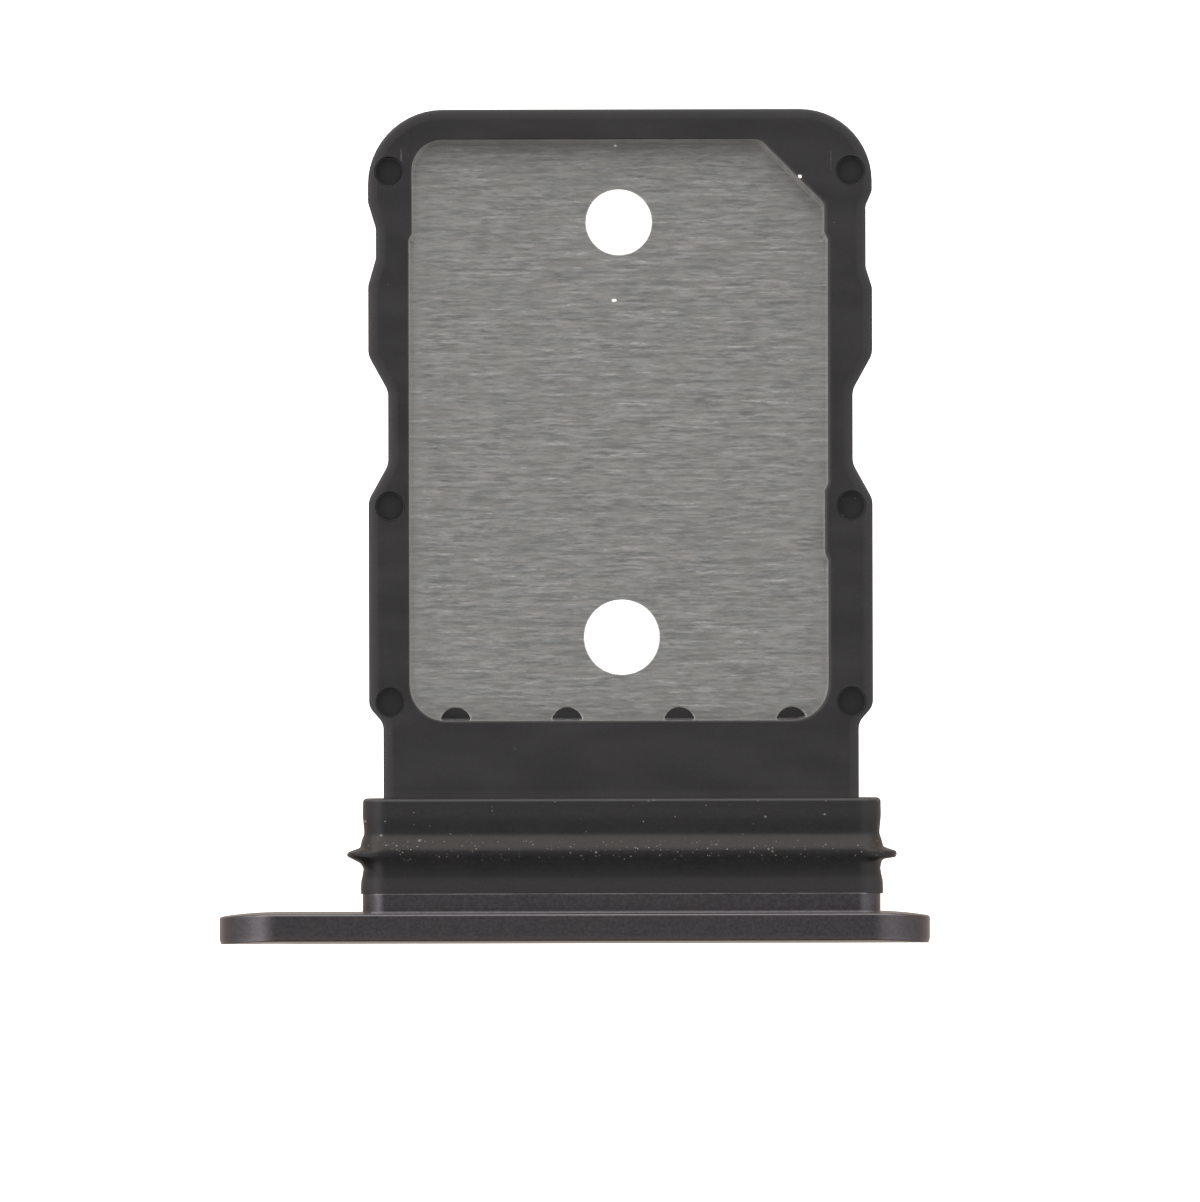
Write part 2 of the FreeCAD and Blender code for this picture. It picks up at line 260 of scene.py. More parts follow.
def shade(ob, sharp=32.0):
    """Split normals: level faces keep their own, curved ones are averaged by area up to an angle."""
    me = ob.data
    nf, nl = len(me.polygons), len(me.loops)
    fn, area = np.empty(nf * 3), np.empty(nf)
    me.polygons.foreach_get("normal", fn)
    me.polygons.foreach_get("area", area)
    fn = fn.reshape(-1, 3)
    lv = np.empty(nl, int)
    me.loops.foreach_get("vertex_index", lv)
    start, total = np.empty(nf, int), np.empty(nf, int)
    me.polygons.foreach_get("loop_start", start)
    me.polygons.foreach_get("loop_total", total)
    lf = np.repeat(np.arange(nf), total)
    level = np.abs(fn[:, 2]) > 0.999999
    at = [[] for _ in range(len(me.vertices))]
    for l in range(nl):
        at[lv[l]].append(lf[l])
    lim = math.cos(math.radians(sharp))
    out = np.empty((nl, 3))
    for v, faces in enumerate(at):
        if faces:
            at[v] = np.array(faces)
    for l in range(nl):
        f = lf[l]
        if level[f]:
            out[l] = fn[f]
            continue
        g = at[lv[l]]
        g = g[(fn[g] @ fn[f]) > lim]
        lev = g[level[g]]
        if len(lev):
            out[l] = fn[lev[0]]
        else:
            m = (fn[g] * area[g, None]).sum(0)
            out[l] = m / np.linalg.norm(m)
    me.normals_split_custom_set([tuple(x) for x in out])


def subtract(ob, cutter):
    """Exact difference, applied at once; the cutter is removed."""
    m = ob.modifiers.new("cut", "BOOLEAN")
    m.operation = "DIFFERENCE"
    m.solver = "EXACT"
    m.object = cutter
    dg = bpy.context.evaluated_depsgraph_get()
    me = bpy.data.meshes.new_from_object(ob.evaluated_get(dg))
    ob.modifiers.clear()
    old = ob.data
    ob.data = me
    bpy.data.meshes.remove(old)
    bpy.data.objects.remove(cutter)


def quarter(n):
    return [math.pi / 2 * i / n for i in range(n + 1)]


def tray3(p, z):
    return [(TRAY_X + u, FRONT + v, z) for u, v in p]


def wobble(x, y, seed, size):
    return noise.noise(Vector((x / size, y / size, seed)))


# ------------------------------------------------------------------ carrier frame
def carrier_frame():
    b = Build()
    o, on = rounded(OUTLINE, step=0.35, turn=7)
    # the neck's end face is flat: its corners move only sideways, its middle not at all
    w = on.copy()
    neck_end = o[:, 1] < SEAL_END + 1e-6
    w[neck_end] = 0
    for i in np.where(neck_end)[0]:
        if abs(abs(o[i, 0]) - NECK) < 1e-6:
            w[i] = (math.copysign(1, o[i, 0]), 0)
    r = FRAME_EDGE_R
    loops = []
    for t in quarter(7):
        loops.append(b.loop(tray3(o - w * r * (1 - math.sin(t)), FRAME_Z + r * (1 - math.cos(t)))))
    for z in (MID - 0.12, MID + 0.12):
        loops.append(b.loop(tray3(o, z)))
    a = SOFT_EDGE[0][0]
    for back, drop in reversed(SOFT_EDGE):
        loops.append(b.loop(tray3(o - w * back, TOP_Z - drop)))
    b.rings(loops)
    low, top = loops[0], loops[-1]
    low2, top2 = o - w * r, o - w * a

    pk, pn = rounded(POCKET, step=0.35, turn=9)
    lean = POCKET_DRAFT + 0.06 * np.clip(pn[:, 1:], 0, 1)
    foot = pk - pn * lean
    plug_hits = []
    for u in ANCHORS:
        joined = np.concatenate([foot, pk], 1)
        grown, pn, hits = crossings(joined, pn, (u, ANCHOR_V), ANCHOR_R)
        foot, pk = grown[:, :2], grown[:, 2:]
        if len(hits) != 2:
            raise RuntimeError("an anchor doesn't cross the pocket's edge twice")
        plug_hits.append([h[:2] for h in hits])
    floor_lp = b.loop(tray3(foot, PLATE_TOP))
    tall = TOP_Z - POCKET_BREAK - PLATE_TOP
    lps = [floor_lp]
    for k in (0.3, 0.65, 1.0):
        lps.append(b.loop(tray3(foot + (pk - foot) * k, PLATE_TOP + tall * k)))
    # the mouth is broken most on the right and at the near side
    wide = 0.03 + 0.075 * np.clip(pn[:, :1], 0, 1) + 0.03 * np.abs(pn[:, 1:])
    for t in quarter(6)[1:]:
        lps.append(b.loop(tray3(pk + pn * wide * (1 - math.cos(t)), TOP_Z - POCKET_BREAK * (1 - math.sin(t)))))
    b.rings(lps)
    mouth, mouth2 = lps[-1], pk + pn * wide

    def on_top(c):
        q = c - np.array([TRAY_X, FRONT])
        return inside(top2, q) & ~inside(mouth2, q)
    b.fill([top, mouth], on_top)

    win, _ = rounded(WINDOW, step=0.5, turn=9)
    win_low, win_high = b.loop(tray3(win, FRAME_Z)), b.loop(tray3(win, PLATE_Z))
    b.bridge(win_low, win_high)
    b.fill([low, win_low], lambda c: inside(low2, c - np.array([TRAY_X, FRONT]))
           & ~inside(win, c - np.array([TRAY_X, FRONT])))

    pl, _ = rounded(PLATE, step=0.5, turn=9)
    pl_low, pl_high = b.loop(tray3(pl, PLATE_Z)), b.loop(tray3(pl, PLATE_TOP))
    b.bridge(pl_low, pl_high)
    plugs_low, plugs_high, plug2 = [], [], []
    for u, hits in zip(ANCHORS, plug_hits):
        c, _ = circle(u, ANCHOR_V, ANCHOR_R, 40)
        keep = [q for q in c if min(np.linalg.norm(q - h) for h in hits) > 0.012]
        marked = [(q, False) for q in keep] + [(h, True) for h in hits]
        marked.sort(key=lambda m: math.atan2(m[0][1] - ANCHOR_V, m[0][0] - u))
        c = np.array([m[0] for m in marked])
        plug2.append(c)
        lowc = b.loop(tray3(c, PLATE_Z))
        high = []
        for q, shared in marked:
            if shared:
                high.append(floor_lp[int(np.argmin(np.linalg.norm(foot - q, axis=1)))])
            else:
                high += b.loop(tray3([q], PLATE_TOP))
        plugs_low.append(lowc)
        plugs_high.append(high)
        b.bridge(lowc, high)

    def in_plugs(q):
        hit = np.zeros(len(q), bool)
        for c in plug2:
            hit |= inside(c, q)
        return hit

    def slot_low(c):
        q = c - np.array([TRAY_X, FRONT])
        return inside(pl, q) & ~inside(win, q) & ~in_plugs(q)

    def slot_high(c):
        q = c - np.array([TRAY_X, FRONT])
        hit = in_plugs(q)
        pocket = inside(foot, q)
        return (inside(pl, q) & ~pocket & ~hit) | (pocket & hit)
    b.fill([pl_low, win_high] + plugs_low, slot_low)
    b.fill([pl_high, floor_lp] + plugs_high, slot_high)
    ob = b.object("carrier_frame_visual")
    subtract(ob, tongue("tongue_space"))
    subtract(ob, pits())
    return ob


def pits():
    """The six blind pits as cutters, each with a softly flared mouth."""
    b = Build()
    deep = TOP_Z - PIT_SEEN
    prof = [(PIT_R - 0.035, deep), (PIT_R - 0.012, deep + 0.008), (PIT_R - 0.003, deep + 0.03), (PIT_R, TOP_Z - 0.025)]
    for t in quarter(4)[1:]:
        prof.append((PIT_R + 0.010 * (1 - math.cos(t)), TOP_Z - 0.025 + 0.026 * math.sin(t)))
    prof.append((PIT_R + 0.011, TOP_Z + 0.2))
    for v in PITS:
        for s in (-1, 1):
            ls = [b.loop(tray3(circle(s * PIT_U, v, rr, 44)[0], z)) for rr, z in prof]
            b.rings(ls)
            b.f.append(ls[0])
            b.f.append(ls[-1])
    return b.object("pit_space")


def tongue(name, v0=2.9):
    """The head's tongue as a closed solid, from v0 to its end, with its three holes."""
    b = Build()
    rect = [(-TONGUE_HW, v0, 0), (TONGUE_HW, v0, 0), (TONGUE_HW, TONGUE_END, 0.05), (-TONGUE_HW, TONGUE_END, 0.05)]
    o, _ = rounded(rect, step=1.2, turn=30)
    zs = (MID - TONGUE_HH, MID + TONGUE_HH)
    lo, hi = b.loop(tray3(o, zs[0])), b.loop(tray3(o, zs[1]))
    b.bridge(lo, hi)
    cs, ls = [], []
    for u in TONGUE_HOLES:
        c, _ = circle(u, TONGUE_HOLE_V, TONGUE_HOLE_R, 32)
        a, d = b.loop(tray3(c, zs[0])), b.loop(tray3(c, zs[1]))
        b.bridge(a, d)
        cs.append(c)
        ls.append((a, d))

    def keep(cen):
        q = cen - np.array([TRAY_X, FRONT])
        ok = inside(o, q)
        for c in cs:
            ok &= ~inside(c, q)
        return ok
    b.fill([lo] + [x[0] for x in ls], keep)
    b.fill([hi] + [x[1] for x in ls], keep)
    return b.object(name)


# ------------------------------------------------------------------ floor plate
def floor_plate():
    b = Build()
    pl, pn = rounded(PLATE, step=0.5, turn=9)
    e = 0.02
    low = b.loop(tray3(pl - pn * e, PLATE_Z))
    loops = [low, b.loop(tray3(pl, PLATE_Z + e)), b.loop(tray3(pl, PLATE_TOP - e))]
    top = b.loop(tray3(pl - pn * e, PLATE_TOP))
    loops.append(top)
    b.rings(loops)
    lows, tops, low2, top2 = [], [], [], []
    holes = [(u, v, r, 0.020, 0.014, 96) for u, v, r in PUSH] + [(u, ANCHOR_V, ANCHOR_R, 0.045, 0.016, 48) for u in ANCHORS]
    for u, v, r, wide, deep, n in holes:
        ls = []
        for t in reversed(quarter(3)):
            c, _ = circle(u, v, r + wide * (1 - math.cos(t)), n)
            ls.append(b.loop(tray3(c, PLATE_TOP - deep * (1 - math.sin(t)))))
        for t in quarter(2):
            c, _ = circle(u, v, r + 0.012 * (1 - math.cos(t)), n)
            ls.append(b.loop(tray3(c, PLATE_Z + 0.012 * (1 - math.sin(t)))))
        b.rings(ls)
        tops.append(ls[0])
        lows.append(ls[-1])
        top2.append(circle(u, v, r + wide, n)[0])
        low2.append(circle(u, v, r + 0.012, n)[0])

    def keep(outer, cuts):
        def f(cen):
            q = cen - np.array([TRAY_X, FRONT])
            ok = inside(outer, q)
            for c in cuts:
                ok &= ~inside(c, q)
            return ok
        return f
    b.fill([top] + tops, keep(pl - pn * e, top2))
    b.fill([low] + lows, keep(pl - pn * e, low2))
    return b.object("floor_plate_visual")


# ------------------------------------------------------------------ head
def bow(z):
    return FRONT + BOW_R - math.sqrt(BOW_R ** 2 - (z - MID) ** 2)


def bar_outline(hw, hh, r, step=0.4, turn=9):
    """A rounded rectangle across the tray, in X and Z."""
    p, n = rounded([(-hw, -hh, r), (hw, -hh, r), (hw, hh, r), (-hw, hh, r)], step, turn)
    return p + np.array([TRAY_X, MID]), n


def head():
    b = Build()
    hw = FACE_W / 2
    o, on = rounded([(-hw, 0, MID - 1e-6), (hw, 0, MID - 1e-6), (hw, FACE_H, MID - 1e-6), (-hw, FACE_H, MID - 1e-6)],
                    step=0.4, turn=4)

    def lp(p, y_of):
        return b.loop([(x, y_of(z), z) for x, z in p])
    loops = []
    r = FACE_FRONT_R
    soft = FACE_FRONT_SOFT
    for t in quarter(9):
        d = r * (1 - math.sin(t))
        loops.append(lp(o - on * d, lambda z: bow(z) + soft * (1 - math.cos(t))))
    R = FACE_EDGE_R
    for k in (1, 2):
        loops.append(lp(o, lambda z: bow(z) + soft + (FACE_T - soft - R) * k / 3))
    for t in quarter(7):
        d = R * (1 - math.cos(t))
        loops.append(lp(o - on * d, lambda z: bow(z) + FACE_T - R * (1 - math.sin(t))))
    b.rings(loops)
    front, rear = loops[0], loops[-1]
    front2, rear2 = o - on * r, o - on * R

    n = 72
    br = 0.018
    ls = []
    for t in reversed(quarter(3)):
        c, _ = circle(EJECT_X, MID, EJECT_R + br * (1 - math.cos(t)), n)
        ls.append(lp(c, lambda z: bow(z) + br * (1 - math.sin(t))))
    c, _ = circle(EJECT_X, MID, EJECT_R, n)
    for k in (1, 2):
        ls.append(lp(c, lambda z: bow(z) + FACE_T * k / 3))
    for t in quarter(3):
        c, _ = circle(EJECT_X, MID, EJECT_R + br * (1 - math.cos(t)), n)
        ls.append(lp(c, lambda z: bow(z) + FACE_T - br * (1 - math.sin(t))))
    b.rings(ls)
    hole_front, hole_rear = ls[0], ls[-1]
    hole2 = circle(EJECT_X, MID, EJECT_R + br, n)[0]

    st, sn = bar_outline(STEM_HW, STEM_HH, STEM_R, 0.4, 7.5)
    rf = STEM_FILLET
    stem = []
    for t in quarter(7):
        stem.append(lp(st + sn * rf * (1 - math.sin(t)), lambda z: bow(z) + FACE_T + rf * (1 - math.cos(t))))
    e = 0.020
    stem.append(lp(st, lambda z: FRONT + STEM_END - e - 0.12))
    for t in quarter(4):
        stem.append(lp(st - sn * e * (1 - math.cos(t)), lambda z: FRONT + STEM_END - e * (1 - math.sin(t))))
    b.rings(stem)
    stem2 = st + sn * rf

    def grid():
        out = []
        for x in np.arange(-hw + 0.25, hw, 0.42):
            for z in np.arange(0.22, FACE_H, 0.20):
                out.append((x, z))
        return np.array(out)

    def clear(q, loops2, gap=0.10):
        ok = np.ones(len(q), bool)
        for l in loops2:
            d = np.sqrt(((q[:, None, :] - l[None, :, :]) ** 2).sum(2)).min(1)
            ok &= d > gap
        return ok
    g = grid()
    gf = g[inside(front2, g) & ~inside(hole2, g) & clear(g, [front2, hole2])]
    b.fill([front, hole_front], lambda q: inside(front2, q) & ~inside(hole2, q), gf,
           lambda p: (p[0], bow(p[1]), p[1]), (0, 2))
    gr = g[inside(rear2, g) & ~inside(hole2, g) & ~inside(stem2, g) & clear(g, [rear2, hole2, stem2])]
    b.fill([rear, hole_rear, stem[0]], lambda q: inside(rear2, q) & ~inside(hole2, q) & ~inside(stem2, q), gr,
           lambda p: (p[0], bow(p[1]) + FACE_T, p[1]), (0, 2))

    co, cn = bar_outline(CORE_HW, CORE_HH, CORE_R, 0.8, 15)
    c0 = lp(co, lambda z: FRONT + STEM_END)
    c1 = lp(co, lambda z: FRONT + SEAL_END)
    b.bridge(c0, c1)
    st_in = st - sn * e
    b.fill([stem[-1], c0], lambda q: inside(st_in, q) & ~inside(co, q), axes=(0, 2))
    # the tongue is one solid with the core
    t0 = [(TRAY_X + u, MID + w) for u, w in ((-TONGUE_HW, -TONGUE_HH), (TONGUE_HW, -TONGUE_HH),
                                            (TONGUE_HW, TONGUE_HH), (-TONGUE_HW, TONGUE_HH))]
    a0 = lp(t0, lambda z: FRONT + SEAL_END)
    a1 = lp(t0, lambda z: FRONT + TONGUE_END)
    t2 = np.array(t0)
    b.fill([c1, a0], lambda q: inside(co, q) & ~inside(t2, q), axes=(0, 2))
    b.f.append([a0[1], a0[2], a1[2], a1[1]])
    b.f.append([a0[3], a0[0], a1[0], a1[3]])
    b.f.append([a1[0], a1[1], a1[2], a1[3]])
    cs, lo, hi = [], [], []
    for u in TONGUE_HOLES:
        c, _ = circle(u, TONGUE_HOLE_V, TONGUE_HOLE_R, 32)
        c = c + np.array([TRAY_X, FRONT])
        cs.append(c)
        lo.append(b.loop([(x, y, MID - TONGUE_HH) for x, y in c]))
        hi.append(b.loop([(x, y, MID + TONGUE_HH) for x, y in c]))
        b.bridge(lo[-1], hi[-1])
    rect = np.array([b.v[i][:2] for i in (a0[0], a0[1], a1[1], a1[0])])

    def web(q):
        ok = inside(rect, q)
        for c in cs:
            ok &= ~inside(c, q)
        return ok
    b.fill([[a0[0], a0[1], a1[1], a1[0]]] + lo, web)
    b.fill([[a0[3], a0[2], a1[2], a1[3]]] + hi, web)
    return b.object("head_visual")


# ------------------------------------------------------------------ gasket
RIDGE = ((1.25, 0.000), (1.35, -0.003), (1.43, -0.001), (1.50, 0.007), (1.58, 0.026), (1.68, 0.062), (1.78, 0.110),
         (1.86, 0.156), (1.92, 0.184), (1.965, 0.194), (2.01, 0.190), (2.06, 0.168), (2.11, 0.134), (2.20, 0.066), (2.275, 0.012),
         (2.31, -0.009), (2.35, -0.022), (2.42, -0.027))
RIDGE_V = np.linspace(1.25, 2.42, 400)
RIDGE_D = np.convolve(np.pad(np.interp(RIDGE_V, *zip(*RIDGE)), 14, mode="edge"), np.hanning(29) / np.hanning(29).sum(), "valid")


def seal():
    """The gasket: its section swept round the stem's outline, closed on the core."""
    def arc(a, m, c, k):
        a, m, c = map(np.array, (a, m, c))
        ax, ay, bx, by, cx, cy = *a, *m, *c
        d = 2 * (ax * (by - cy) + bx * (cy - ay) + cx * (ay - by))
        ux = ((ax * ax + ay * ay) * (by - cy) + (bx * bx + by * by) * (cy - ay) + (cx * cx + cy * cy) * (ay - by)) / d
        uy = ((ax * ax + ay * ay) * (cx - bx) + (bx * bx + by * by) * (ax - cx) + (cx * cx + cy * cy) * (bx - ax)) / d
        o = np.array([ux, uy])
        r = np.linalg.norm(a - o)
        t0, t1, t2 = (math.atan2(*(p - o)[::-1]) for p in (a, m, c))
        two = 2 * math.pi
        if (t1 - t0) % two < (t2 - t0) % two:
            sweep = (t2 - t0) % two
        else:
            sweep = -((t0 - t2) % two)
        return [tuple(o + r * np.array([math.cos(t0 + sweep * i / k), math.sin(t0 + sweep * i / k)]))
                for i in range(k + 1)]

    def line(a, c, k):
        return [tuple(np.array(a) * (1 - i / k) + np.array(c) * i / k) for i in range(k + 1)]
    sec = []
    for part in (
            [(-0.003, STEM_END), (0.000, STEM_END + 0.004), (0.000, STEM_END + 0.020)],
            line((0.000, STEM_END + 0.020), (0.002, 1.20), 3),
            line((0.002, 1.20), (-0.012, 1.45), 7),
            line((-0.012, 1.45), (-0.010, 1.60), 5),
            arc((-0.010, 1.60), (0.030, 1.690), (0.110, 1.760), 7),
            line((0.110, 1.760), (0.300, 1.860), 4),
            arc((0.300, 1.860), (0.344, 1.925), (0.296, 1.975), 6),
            line((0.296, 1.975), (0.120, 2.035), 4),
            arc((0.120, 2.035), (0.070, 2.060), (0.042, 2.095), 4),
            line((0.042, 2.095), (-0.022, 2.300), 6),
            arc((-0.022, 2.300), (-0.032, 2.350), (-0.028, 2.400), 5),
            line((-0.028, 2.400), (-0.004, 2.640), 5),
            arc((-0.004, 2.640), (0.003, 2.72), (0.004, 2.80), 4),
            line((0.004, 2.80), (0.000, 2.955), 3),
            arc((0.000, 2.980), (-0.020, 3.032), (-0.072, SEAL_END), 7)):
        for p in part:
            if not sec or math.dist(p, sec[-1]) > 1e-5:
                sec.append(p)
    b = Build()
    p, n = bar_outline(SEAL_HW, SEAL_HH, SEAL_R, 0.14, 6)
    c, _ = bar_outline(CORE_HW, CORE_HH, CORE_R, 0.14, 6)
    loops = []
    for d, v in sec:
        ring = []
        for (x, z), (nx, nz) in zip(p, n):
            side = 1.0 if z > MID else -1.0
            w = wobble(x, 7.0 * side, 3.1, 1.4)
            vv, dd = v, d
            if 1.25 < v < 2.42:                            # on the flat sides the lip is a rounded ridge
                dd += nz * nz * (float(np.interp(v, RIDGE_V, RIDGE_D)) - d)
            if v > 2.90:
                vv += 0.050 * min(1.0, (v - 2.90) / 0.10)
            if v < 1.60:                                   # it stands proud of the stem only at the ends
                dd += 0.046 * abs(nx) ** 2 * min(1.0, (1.60 - v) / 0.25)
            if v < 1.30:                                   # the end by the stem is not quite straight
                fade = (1.30 - v) / 0.235
                vv += fade * (0.018 * wobble(x, 4.0 * side, 9.2, 1.1) + 0.006 * wobble(x, 4.0 * side, 1.2, 0.3) - 0.024)
            if 1.60 < v < 1.95 and nx > 0:                 # at the right end it is a blunt finger
                k = min(1.0, max(0.0, d) / 0.30)
                k = 0.085 * (1 - k) - 0.035 * k * min(1.0, (1.95 - v) / 0.09)
                vv += nx * k * min(1.0, (v - 1.60) / 0.08)
            if 1.70 < v < 2.10:                            # the lip lies a little unevenly
                k = max(0.0, min(1.0, d / 0.30))
                vv += k * 0.018 * w
                dd -= k * abs(0.012 * wobble(x, 5.0 * side, 6.6, 0.8))
            dd += 0.020 * max(0.0, nx) ** 2
            if 2.02 < v < 2.42:                            # hardly a groove behind the lip at the ends
                bump = math.sin(math.pi * (v - 2.02) / 0.40)
                dd += (0.020 * max(0.0, -nx) + 0.012 * max(0.0, nx)) * bump
            ring.append((x + nx * dd, FRONT + vv, z + nz * dd))
        loops.append(b.loop(ring))
    b.rings(loops)
    q1 = b.loop([(x, FRONT + SEAL_END, z) for x, z in c])
    q0 = b.loop([(x, FRONT + STEM_END, z) for x, z in c])
    out1 = np.array([(b.v[i][0], b.v[i][2]) for i in loops[-1]])
    out0 = np.array([(b.v[i][0], b.v[i][2]) for i in loops[0]])
    b.fill([loops[-1], q1], lambda q: inside(out1, q) & ~inside(c, q), axes=(0, 2))
    b.bridge(q1, q0)
    b.fill([q0, loops[0]], lambda q: inside(out0, q) & ~inside(c, q), axes=(0, 2))
    return b.object("seal_visual")


# ------------------------------------------------------------------ materials
class Nodes:
    """A small helper for building one node material."""

    def __init__(self, name):
        self.m = bpy.data.materials.new(name)
        self.m.use_nodes = True
        self.t = self.m.node_tree
        self.bsdf = self.t.nodes["Principled BSDF"]
        self.out = self.t.nodes["Material Output"]
        self.pos = self.add("ShaderNodeNewGeometry").outputs["Position"]

    def add(self, kind, **props):
        n = self.t.nodes.new(kind)
        for k, v in props.items():
            setattr(n, k, v)
        return n

    def link(self, a, b):
        self.t.links.new(a, b)

    def math(self, op, a, b=None, c=None, clamp=False):
        n = self.add("ShaderNodeMath", operation=op, use_clamp=clamp)
        for i, x in enumerate((a, b, c)):
            if x is None:
                continue
            if isinstance(x, (int, float)):
                n.inputs[i].default_value = x
            else:
                self.link(x, n.inputs[i])
        return n.outputs[0]

    def mm(self, scale=(1, 1, 1), shift=(0, 0, 0), turn=0.0):
        """Object coordinates in mm, scaled and shifted."""
        n = self.add("ShaderNodeMapping")
        n.inputs["Scale"].default_value = tuple(1000.0 * s for s in scale)
        n.inputs["Location"].default_value = shift
        n.inputs["Rotation"].default_value = (0, 0, turn)
        self.link(self.pos, n.inputs["Vector"])
        return n.outputs[0]

    def noise(self, vec, scale=1.0, detail=3.0, rough=0.55, distort=0.0):
        n = self.add("ShaderNodeTexNoise")
        n.inputs["Scale"].default_value = scale
        n.inputs["Detail"].default_value = detail
        n.inputs["Roughness"].default_value = rough
        n.inputs["Distortion"].default_value = distort
        self.link(vec, n.inputs["Vector"])
        return n.outputs["Fac"]

    def cells(self, vec, scale=1.0, feature="F1", spread=1.0):
        n = self.add("ShaderNodeTexVoronoi", feature=feature)
        n.inputs["Scale"].default_value = scale
        n.inputs["Randomness"].default_value = spread
        self.link(vec, n.inputs["Vector"])
        return n

    def ramp(self, x, lo, hi, a=0.0, b=1.0, smooth=True):
        n = self.add("ShaderNodeMapRange", interpolation_type="SMOOTHSTEP" if smooth else "LINEAR")
        for k, v in zip(("From Min", "From Max", "To Min", "To Max"), (lo, hi, a, b)):
            n.inputs[k].default_value = v
        self.link(x, n.inputs["Value"])
        return n.outputs["Result"]

    def mix(self, f, a, b):
        n = self.add("ShaderNodeMix", data_type="RGBA")
        for s, x in (("Factor", f), ("A", a), ("B", b)):
            sock = [i for i in n.inputs if i.name == s and (i.type == ("VALUE" if s == "Factor" else "RGBA"))][0]
            if isinstance(x, (int, float)):
                sock.default_value = x
            elif isinstance(x, tuple):
                sock.default_value = (*x, 1.0)
            else:
                self.link(x, sock)
        return [o for o in n.outputs if o.type == "RGBA"][0]

    def level(self, x, at, hard=0.01):
        """1 where x is below a level, with a narrow soft edge."""
        return self.ramp(x, at - hard, at + hard, 1.0, 0.0)

    def specks(self, scale, radius, share, shift=(0, 0, 0)):
        """Small irregular grains: a share of the cells holds one, each of its own size."""
        p = self.mm((scale, scale, scale), shift)
        rough = self.noise(p, 2.3, 2.0, 0.6)
        n = self.cells(p, 1.0)
        sep = self.add("ShaderNodeSeparateColor")
        self.link(n.outputs["Color"], sep.inputs[0])
        has = self.ramp(sep.outputs[0], 1.0 - share, 1.0 - share + 0.01)
        size = self.math("MULTIPLY", self.math("MULTIPLY_ADD", sep.outputs[1], 0.8, 0.4), radius * scale)
        size = self.math("MULTIPLY", size, self.math("MULTIPLY_ADD", rough, 1.6, 0.2))
        d = self.math("DIVIDE", n.outputs["Distance"], size)
        return self.math("MULTIPLY", has, self.ramp(d, 0.7, 1.1, 1.0, 0.0))

    def spot(self, x, y, cx, cy, rx, ry, fuzz=None, turn=0.0):
        """One soft oval spot at a place on the tray, in mm."""
        dx, dy = self.math("SUBTRACT", x, cx), self.math("SUBTRACT", y, cy)
        ca, sa = math.cos(turn), math.sin(turn)
        ux = self.math("ADD", self.math("MULTIPLY", dx, ca / rx), self.math("MULTIPLY", dy, sa / rx))
        uy = self.math("ADD", self.math("MULTIPLY", dx, -sa / ry), self.math("MULTIPLY", dy, ca / ry))
        d = self.math("SQRT", self.math("ADD", self.math("MULTIPLY", ux, ux), self.math("MULTIPLY", uy, uy)))
        if fuzz is not None:
            d = self.math("MULTIPLY", d, self.math("MULTIPLY_ADD", fuzz, 1.6, 0.2))
        return self.ramp(d, 0.6, 1.15, 1.0, 0.0)

    def bump(self, height, strength, distance, normal=None):
        n = self.add("ShaderNodeBump")
        n.inputs["Strength"].default_value = strength
        n.inputs["Distance"].default_value = distance
        self.link(height, n.inputs["Height"])
        if normal is not None:
            self.link(normal, n.inputs["Normal"])
        return n.outputs["Normal"]

    def xyz(self):
        n = self.add("ShaderNodeSeparateXYZ")
        self.link(self.pos, n.inputs[0])
        return [self.math("MULTIPLY", o, 1000.0) for o in n.outputs]


def anodised():
    k = Nodes("anodised_aluminium")
    p = k.mm()
    fine = k.noise(p, 17.0, 2.0, 0.6)
    grain = k.noise(p, 8.0, 2.0, 0.5)
    cloud = k.noise(p, 0.7, 2.0, 0.5)
    tone = k.math("ADD", k.math("MULTIPLY", fine, 0.7), k.math("MULTIPLY", grain, 0.3))
    f = k.ramp(tone, 0.34, 0.66)
    c = k.mix(f, (0.0768, 0.0725, 0.0802), (0.0965, 0.0915, 0.1003))
    highlight_waver = k.noise(k.mm((1.4, 0.05, 0.05)), 1.0, 2.0, 0.6)
    c = k.mix(k.ramp(cloud, 0.35, 0.65, 0.0, 0.25), c, (0.090, 0.085, 0.087))
    x, y, z = k.xyz()
    # painted highlight: a warm pale band along the faceplate's front top edge
    painted_edge_highlight = k.math("MULTIPLY", k.ramp(y, FRONT + 0.17, FRONT + 0.10), k.ramp(z, 2.42, 2.50))
    c = k.mix(k.math("MULTIPLY", painted_edge_highlight, 0.45), c, (0.200, 0.165, 0.142))
    # painted highlight: a pale line along the faceplate's rear top edge
    painted_edge_highlight = k.math("MULTIPLY", k.ramp(y, FRONT + 0.60, FRONT + 0.63), k.ramp(z, 2.44, 2.50))
    c = k.mix(k.math("MULTIPLY", painted_edge_highlight, 0.36), c, (0.200, 0.192, 0.192))
    # painted highlight: the stem's far edge is drawn bright in a thin uneven line
    c = k.mix(k.math("MULTIPLY", k.ramp(y, FRONT + 1.045, FRONT + 1.070), k.ramp(highlight_waver, 0.35, 0.62, 0.05, 0.45)), c, (0.180, 0.173, 0.183))
    k.link(c, k.bsdf.inputs["Base Color"])
    k.bsdf.inputs["Metallic"].default_value = 1.0
    k.link(k.ramp(fine, 0.3, 0.7, 0.30, 0.35), k.bsdf.inputs["Roughness"])
    k.link(k.bump(tone, 0.045, 0.000010), k.bsdf.inputs["Normal"])
    return k.m


